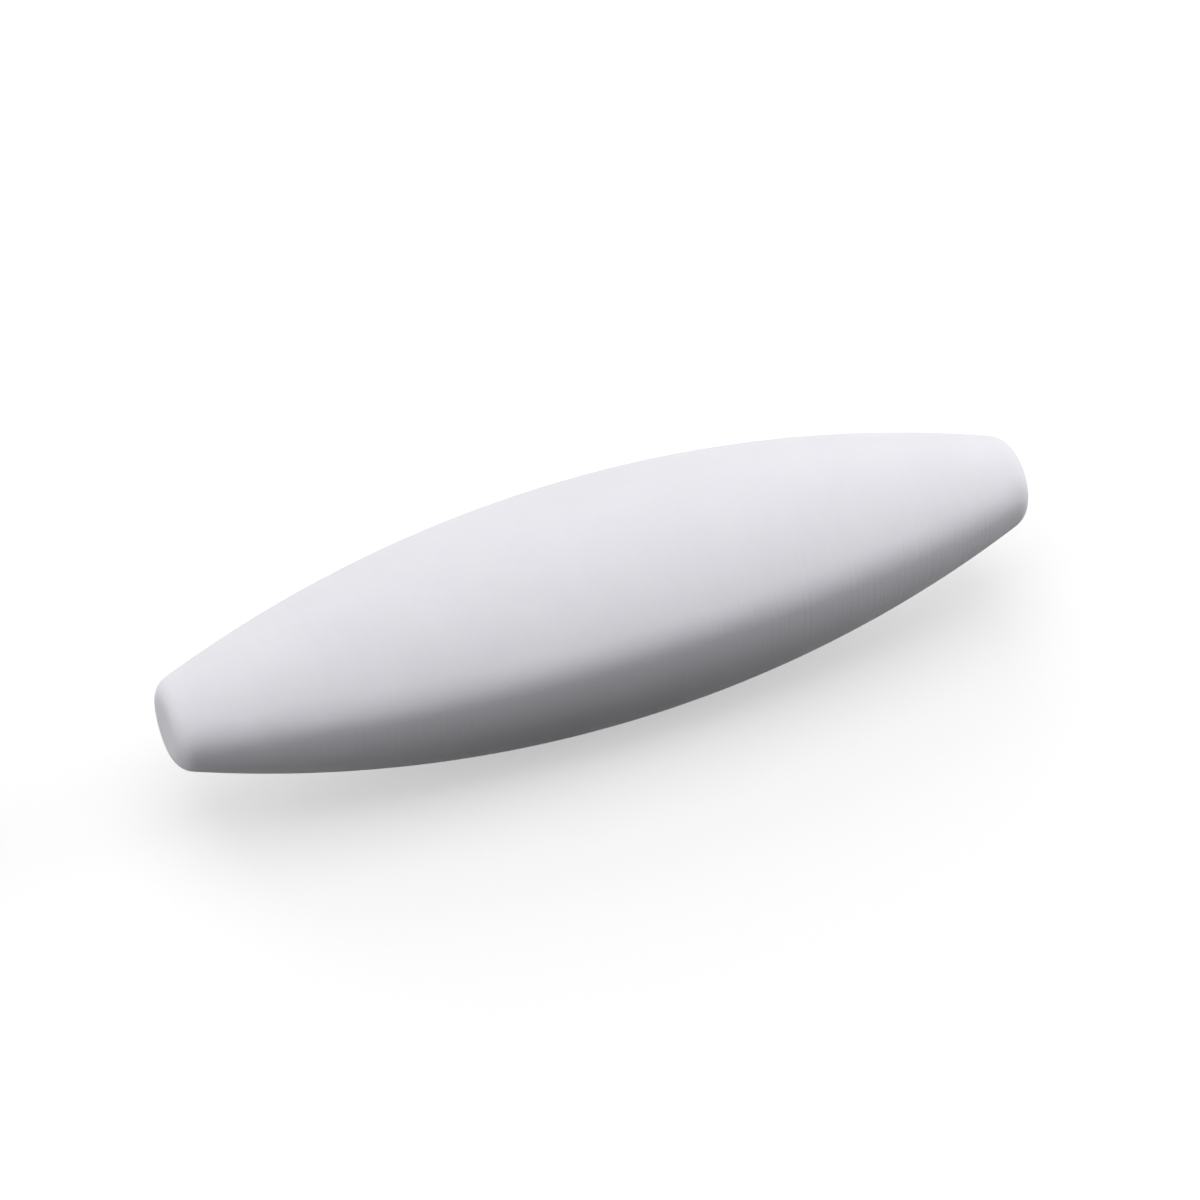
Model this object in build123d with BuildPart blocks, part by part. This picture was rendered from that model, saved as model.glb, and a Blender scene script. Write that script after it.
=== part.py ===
from build123d import *
import os

# Oval magnetic stir bar: a rod magnet sealed for good inside a white, seamless PTFE jacket.
# Lengths are in millimetres. The bar lies along X, and the origin is its middle, on its axis.

# Jacket, a spindle of revolution about the bar's axis
bar_length = 70.0  # over the two end flats
belly_diameter = 19.0  # thickest, half way along
end_diameter = 6.5  # where the side's one long arc meets the end planes, before rounding
end_edge_radius = 1.8  # rounding from the side into each end flat

# Magnet, a plain ground rod magnetised along its length
magnet_length = 50.0
magnet_diameter = 8.0
magnet_edge_chamfer = 0.6

# Room left all round the magnet by the jacket that was sintered on to it
magnet_clearance = 0.05

# Magnet: a round rod with both end edges broken by a small chamfer
with BuildPart() as magnet_core:
    with BuildSketch(Plane.YZ):
        Circle(magnet_diameter / 2)
    extrude(amount=magnet_length / 2, both=True)
    chamfer(magnet_core.faces().filter_by(Axis.X).edges(), length=magnet_edge_chamfer)

# Jacket: half of the lengthwise section, turned once about the axis. One arc runs from end to end over the
# belly, and the end edges are rounded. The closed hollow inside is the magnet grown by its clearance.
with BuildPart() as ptfe_jacket:
    with BuildSketch(Plane.XZ) as half_section:
        with BuildLine():
            side = ThreePointArc(
                (-bar_length / 2, end_diameter / 2),
                (0, belly_diameter / 2),
                (bar_length / 2, end_diameter / 2),
            )
            Polyline(side @ 1, (bar_length / 2, 0), (-bar_length / 2, 0), side @ 0)
        make_face()
        fillet(half_section.vertices().group_by(Axis.Y)[-1], radius=end_edge_radius)
    revolve(axis=Axis.X)
    offset(magnet_core.part, amount=magnet_clearance, kind=Kind.INTERSECTION, mode=Mode.SUBTRACT)

magnet_core.part.label = "magnet_core"
ptfe_jacket.part.label = "ptfe_jacket"

os.makedirs("parts", exist_ok=True)
export_step(magnet_core.part, "parts/magnet_core.step")
export_step(ptfe_jacket.part, "parts/ptfe_jacket.step")
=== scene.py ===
import math

import bpy
import numpy as np
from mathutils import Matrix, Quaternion, Vector


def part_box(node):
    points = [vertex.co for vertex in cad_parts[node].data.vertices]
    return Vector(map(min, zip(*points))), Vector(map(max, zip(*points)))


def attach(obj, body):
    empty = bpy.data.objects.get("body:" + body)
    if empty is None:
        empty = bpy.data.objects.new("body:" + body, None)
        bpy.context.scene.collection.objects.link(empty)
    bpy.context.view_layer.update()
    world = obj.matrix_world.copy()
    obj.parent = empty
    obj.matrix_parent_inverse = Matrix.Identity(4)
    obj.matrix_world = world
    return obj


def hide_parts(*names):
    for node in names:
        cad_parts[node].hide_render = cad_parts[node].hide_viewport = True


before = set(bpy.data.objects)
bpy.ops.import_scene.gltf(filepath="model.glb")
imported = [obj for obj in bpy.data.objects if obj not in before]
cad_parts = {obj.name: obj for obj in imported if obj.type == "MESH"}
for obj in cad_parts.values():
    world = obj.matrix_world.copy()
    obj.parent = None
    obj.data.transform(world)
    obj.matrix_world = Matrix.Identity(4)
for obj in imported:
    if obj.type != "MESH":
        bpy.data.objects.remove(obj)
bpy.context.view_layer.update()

scene = bpy.context.scene
scene.view_settings.view_transform = "Standard"


# Magnet: a round rod of alnico, cast, then ground on its side and ends and magnetised along its length.
# It is what the stirrer pulls on. The jacket closes round it on all sides, so its solid stays as it is.
MM = 0.001


def linear(hex_colour):
    """An sRGB hex colour as linear RGBA: each channel goes back through the sRGB curve."""
    channels = [int(hex_colour[i:i + 2], 16) / 255 for i in (1, 3, 5)]
    return [c / 12.92 if c <= 0.04045 else ((c + 0.055) / 1.055) ** 2.4 for c in channels] + [1.0]


def add_node(tree, kind, inputs=None, **settings):
    """Adds a node. Settings go on the node itself. Each input takes a value, or a link from a socket."""
    node = tree.nodes.new(kind)
    for name, value in settings.items():
        setattr(node, name, value)
    for key, value in (inputs or {}).items():
        if isinstance(value, bpy.types.NodeSocket):
            tree.links.new(value, node.inputs[key])
        else:
            node.inputs[key].default_value = value
    return node


def new_material(name):
    """An empty node material and its tree."""
    material = bpy.data.materials.new(name)
    material.use_nodes = True
    material.node_tree.nodes.clear()
    return material, material.node_tree


# Ground alnico: a grey metal with grinding lines round the rod, and the cloudy grain of the casting between
# them. The lines are drawn coarser than the real ones, which would be too fine to show.
grinding_line = 0.25 * MM
grinding_depth = 0.004 * MM
casting_grain = 2.0 * MM
ground_bright, ground_dull = 0.26, 0.44
alnico, tree = new_material("ground_alnico")
place = add_node(tree, "ShaderNodeTexCoord").outputs["Object"]
along = add_node(tree, "ShaderNodeSeparateXYZ", {"Vector": place}).outputs["X"]
lines = add_node(tree, "ShaderNodeTexNoise", {
    "W": along,
    "Scale": 1 / grinding_line,
    "Detail": 3.0,
}, noise_dimensions="1D").outputs["Fac"]
grain = add_node(tree, "ShaderNodeTexNoise", {
    "Vector": place,
    "Scale": 1 / casting_grain,
    "Detail": 5.0,
}).outputs["Fac"]
colour = add_node(tree, "ShaderNodeMixRGB", {
    "Fac": grain,
    "Color1": linear("#7C7A78"),
    "Color2": linear("#97948F"),
})
dulled = add_node(tree, "ShaderNodeMapRange", {
    "Value": lines,
    "To Min": ground_bright,
    "To Max": ground_dull,
})
ground = add_node(tree, "ShaderNodeBump", {
    "Height": lines,
    "Strength": 0.6,
    "Distance": grinding_depth,
})
shader = add_node(tree, "ShaderNodeBsdfPrincipled", {
    "Base Color": colour.outputs["Color"],
    "Roughness": dulled.outputs["Result"],
    "Normal": ground.outputs["Normal"],
    "Metallic": 1.0,
})
add_node(tree, "ShaderNodeOutputMaterial", {"Surface": shader.outputs["BSDF"]})
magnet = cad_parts["magnet_core"]
magnet.data.materials.clear()
magnet.data.materials.append(alnico)


# Jacket: white PTFE, pressed round the magnet, sintered into one seamless spindle, turned and polished. Its
# side is one long arc from end to end, rounded over into a small flat at each end. It has no seam, plug or
# mark. The skin made here has the solid's outline, shaded smooth, and stands for the solid.
half_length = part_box("ptfe_jacket")[1].x
belly_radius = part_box("ptfe_jacket")[1].z
end_radius = 3.25 * MM
end_rounding = 1.8 * MM
rings_on_side = 80
rings_on_rounding = 14
rings_on_flat = 8
points_around = 192


def spindle_profile():
    """The jacket's outline as (x, r), from the middle of one end flat to the middle of the other.
    The side is an arc through the end radius, the belly and the other end radius. For a rise of the belly
    over the ends, its radius is (half length squared + rise squared) / twice the rise, and its centre lies
    beyond the axis. The rounding is an arc that touches the end plane and, from inside, the side. So its
    centre is one rounding short of the end plane, and the side's radius less one rounding from the side's
    centre."""
    rise = belly_radius - end_radius
    side_radius = (half_length ** 2 + rise ** 2) / (2 * rise)
    side_centre = belly_radius - side_radius
    corner_x = half_length - end_rounding
    corner_r = side_centre + math.sqrt((side_radius - end_rounding) ** 2 - corner_x ** 2)
    meeting = math.atan2(corner_x, corner_r - side_centre)
    flat_r = np.linspace(0, corner_r, rings_on_flat, endpoint=False)
    turn = np.linspace(math.pi / 2, meeting, rings_on_rounding, endpoint=False)
    sweep = np.linspace(meeting, 0, rings_on_side)
    x = np.concatenate([
        np.full(rings_on_flat, half_length),
        corner_x + end_rounding * np.sin(turn),
        side_radius * np.sin(sweep),
    ])
    r = np.concatenate([
        flat_r,
        corner_r + end_rounding * np.cos(turn),
        side_centre + side_radius * np.cos(sweep),
    ])
    return np.concatenate([x, -x[-2::-1]]), np.concatenate([r, r[-2::-1]])


def turned(name, x, r, around):
    """A profile turned about the X axis: (x, r) goes to (x, r cos a, r sin a) for angles a all round.
    Its first and last points are on the axis, and each is one vertex that closes its end with a fan."""
    angle = np.linspace(0, 2 * np.pi, around, endpoint=False)
    ring_r = r[1:-1, None]
    rings = np.stack([x[1:-1, None] + 0 * angle, ring_r * np.cos(angle), ring_r * np.sin(angle)], axis=-1)
    points = np.concatenate([rings.reshape(-1, 3), [[x[0], 0, 0], [x[-1], 0, 0]]])
    first, last = len(points) - 2, len(points) - 1
    start = np.arange(len(x) - 2)[:, None] * around
    here = start + np.arange(around)
    beside = start + np.roll(np.arange(around), -1)
    quads = np.stack([here[:-1], here[1:], beside[1:], beside[:-1]], axis=-1).reshape(-1, 4)
    first_fan = np.stack([np.full(around, first), here[0], beside[0]], axis=-1)
    last_fan = np.stack([np.full(around, last), beside[-1], here[-1]], axis=-1)
    mesh = bpy.data.meshes.new(name)
    mesh.from_pydata(points, [], quads.tolist() + first_fan.tolist() + last_fan.tolist())
    mesh.shade_smooth()
    piece = bpy.data.objects.new(name, mesh)
    scene.collection.objects.link(piece)
    return piece


jacket = turned("jacket_skin", *spindle_profile(), points_around)

# Sintered PTFE: a waxy white that lets light a little way in, with a weak, broad shine. It clouds slightly
# from the powder it was pressed from, and has a fine tooth, and faint lines round it from turning where the
# polish left them. Tooth and lines are drawn coarser than the real ones, so that they show.
powder_cloud = 5.0 * MM
surface_tooth = 0.4 * MM
tooth_depth = 0.02 * MM
turning_line = 0.35 * MM
turning_depth = 0.04 * MM
polish_patch = 9.0 * MM
well_polished, less_polished = 0.6, 0.72
light_depth = 0.3 * MM
ptfe, tree = new_material("sintered_ptfe")
place = add_node(tree, "ShaderNodeTexCoord").outputs["Object"]
cloud = add_node(tree, "ShaderNodeTexNoise", {
    "Vector": place,
    "Scale": 1 / powder_cloud,
    "Detail": 4.0,
}).outputs["Fac"]
tooth = add_node(tree, "ShaderNodeTexNoise", {
    "Vector": place,
    "Scale": 1 / surface_tooth,
    "Detail": 2.0,
}).outputs["Fac"]
patch = add_node(tree, "ShaderNodeTexNoise", {
    "Vector": place,
    "Scale": 1 / polish_patch,
    "Detail": 2.0,
}).outputs["Fac"]

# The lines follow the length along the profile. Distance from the bar's middle along the axis, less distance
# from the axis, stands in for that length on the side, the roundings and the end flats alike.
along = add_node(tree, "ShaderNodeSeparateXYZ", {"Vector": place}).outputs["X"]
from_middle = add_node(tree, "ShaderNodeMath", {0: along}, operation="ABSOLUTE").outputs["Value"]
across = add_node(tree, "ShaderNodeVectorMath", {
    0: place,
    1: (0, 1, 1),
}, operation="MULTIPLY").outputs["Vector"]
from_axis = add_node(tree, "ShaderNodeVectorMath", {0: across}, operation="LENGTH").outputs["Value"]
profile = add_node(tree, "ShaderNodeMath", {
    0: from_middle,
    1: from_axis,
}, operation="SUBTRACT").outputs["Value"]
lines = add_node(tree, "ShaderNodeTexNoise", {
    "W": profile,
    "Scale": 1 / turning_line,
    "Detail": 3.0,
}, noise_dimensions="1D").outputs["Fac"]
kept_lines = add_node(tree, "ShaderNodeMath", {0: lines, 1: patch}, operation="MULTIPLY").outputs["Value"]

colour = add_node(tree, "ShaderNodeMixRGB", {
    "Fac": cloud,
    "Color1": linear("#EAE9EF"),
    "Color2": linear("#F0EFF5"),
})
polish = add_node(tree, "ShaderNodeMapRange", {
    "Value": patch,
    "From Min": 0.3,
    "From Max": 0.7,
    "To Min": well_polished,
    "To Max": less_polished,
})
toothed = add_node(tree, "ShaderNodeBump", {
    "Height": tooth,
    "Strength": 0.5,
    "Distance": tooth_depth,
})
lined = add_node(tree, "ShaderNodeBump", {
    "Height": kept_lines,
    "Strength": 0.6,
    "Distance": turning_depth,
    "Normal": toothed.outputs["Normal"],
})
shader = add_node(tree, "ShaderNodeBsdfPrincipled", {
    "Base Color": colour.outputs["Color"],
    "Roughness": polish.outputs["Result"],
    "Normal": lined.outputs["Normal"],
    "IOR": 1.35,
    "Subsurface Weight": 0.6,
    "Subsurface Radius": (1.0, 0.95, 0.9),
    "Subsurface Scale": light_depth,
})
add_node(tree, "ShaderNodeOutputMaterial", {"Surface": shader.outputs["BSDF"]})
jacket.data.materials.append(ptfe)
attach(jacket, "root")
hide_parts("ptfe_jacket")


# Floor: a wide sheet of white paper that the belly lies on. The eye and mirror-like rays see it white, with
# the bar's shadow. It throws little light back up, so that the bar's underside falls into shade.
floor_half = 3.0
paper_glow = 0.48
corners = floor_half * np.array([[-1, -1], [1, -1], [1, 1], [-1, 1]])
floor_mesh = bpy.data.meshes.new("paper_floor")
floor_mesh.from_pydata(np.column_stack([corners, np.full(4, -belly_radius)]), [], [[0, 1, 2, 3]])
floor = bpy.data.objects.new("paper_floor", floor_mesh)
scene.collection.objects.link(floor)


def seen_directly(tree):
    """1 for rays from the eye, from a reflection or through something clear, and 0 for rays that gather
    spread light."""
    ray = add_node(tree, "ShaderNodeLightPath").outputs
    mirrored = add_node(tree, "ShaderNodeMath", {
        0: ray["Is Glossy Ray"],
        1: ray["Is Transmission Ray"],
    }, operation="MAXIMUM").outputs["Value"]
    return add_node(tree, "ShaderNodeMath", {
        0: ray["Is Camera Ray"],
        1: mirrored,
    }, operation="MAXIMUM").outputs["Value"]


paper, tree = new_material("white_paper")
spread = add_node(tree, "ShaderNodeBsdfDiffuse", {"Color": linear("#464648")})
lit = add_node(tree, "ShaderNodeBsdfDiffuse", {"Color": linear("#D0D0D0")})
glow = add_node(tree, "ShaderNodeEmission", {"Color": linear("#FFFFFF"), "Strength": paper_glow})
bright = add_node(tree, "ShaderNodeAddShader", {0: lit.outputs["BSDF"], 1: glow.outputs["Emission"]})
mixed = add_node(tree, "ShaderNodeMixShader", {
    0: seen_directly(tree),
    1: spread.outputs["BSDF"],
    2: bright.outputs["Shader"],
})
add_node(tree, "ShaderNodeOutputMaterial", {"Surface": mixed.outputs["Shader"]})
floor_mesh.materials.append(paper)


# Studio: white all round to the eye, with soft lamps over the bar and on its four sides, and a low spot in
# front. The side lamps light the ends, and the others the belly's top, back and front.
fill_strength = 0.01
white_strength = 1.0
room = bpy.data.worlds.new("studio")
room.use_nodes = True
tree = room.node_tree
tree.nodes.clear()
fill = add_node(tree, "ShaderNodeBackground", {"Color": linear("#FFFFFF"), "Strength": fill_strength})
backdrop = add_node(tree, "ShaderNodeBackground", {"Color": linear("#FFFFFF"), "Strength": white_strength})
mixed = add_node(tree, "ShaderNodeMixShader", {
    0: seen_directly(tree),
    1: fill.outputs["Background"],
    2: backdrop.outputs["Background"],
})
add_node(tree, "ShaderNodeOutputWorld", {"Surface": mixed.outputs["Shader"]})
scene.world = room


def softbox(name, place, size, power, shine=True):
    """A square area lamp of that size in metres and power in watts, turned to face the bar's middle.
    Without shine it leaves no reflection of itself."""
    data = bpy.data.lights.new(name, "AREA")
    data.size = size
    data.energy = power
    lamp = bpy.data.objects.new(name, data)
    lamp.location = place
    lamp.rotation_mode = "QUATERNION"
    lamp.rotation_quaternion = (-Vector(place)).to_track_quat("-Z", "Y")
    lamp.visible_camera = False
    lamp.visible_glossy = shine
    scene.collection.objects.link(lamp)


softbox("overhead_lamp", place=(0.0, 0.0, 0.7), size=0.8, power=2.9)
softbox("rear_lamp", place=(0.0, 0.8, 0.45), size=0.9, power=4.4)
softbox("front_lamp", place=(0.0, -0.5, 0.7), size=0.8, power=0.8)
softbox("left_lamp", place=(-0.9, -0.1, 0.2), size=0.4, power=3.1, shine=False)
softbox("right_lamp", place=(0.9, -0.1, 0.2), size=0.4, power=4.6, shine=False)

# The front spot stands low, and its barn door cuts the beam off along a plane through the bar's axis. It
# lights only what is above that plane, so the bar's front has a clear edge between its light and its shade.
# Only the rim of the spot's wide cone reaches the bar, which makes that plane.
spot_distance = 0.8
spot_height = math.radians(14)
spot_half_cone = math.radians(80)
spot_tilt = spot_half_cone - spot_height
spot_data = bpy.data.lights.new("front_spot", "SPOT")
spot_data.spot_size = 2 * spot_half_cone
spot_data.spot_blend = 0.0
spot_data.shadow_soft_size = 1.5 * MM
spot_data.energy = 6.2
spot = bpy.data.objects.new("front_spot", spot_data)
spot.location = spot_distance * Vector((0, -math.cos(spot_height), math.sin(spot_height)))
spot.rotation_mode = "QUATERNION"
spot.rotation_quaternion = Vector((0, math.cos(spot_tilt), math.sin(spot_tilt))).to_track_quat("-Z", "Y")
scene.collection.objects.link(spot)


# Camera: it stands where the photograph's camera stood, 385 mm from the bar and a little rolled. It faces
# the bar's middle through a lens 3.2 times as long, so that the bar fills the frame.
photo_lens = 47.47
lens_gain = 3.2
camera_place = Vector((-103.8, -277.4, 246.4)) * MM
camera_roll = Quaternion((0, 0, 1), math.radians(-3.0))
camera_data = bpy.data.cameras.new("camera")
camera_data.sensor_width = 36.0
camera_data.lens = lens_gain * photo_lens
camera = bpy.data.objects.new("camera", camera_data)
camera.location = camera_place
camera.rotation_mode = "QUATERNION"
camera.rotation_quaternion = (-camera_place).to_track_quat("-Z", "Y") @ camera_roll
scene.collection.objects.link(camera)
scene.camera = camera
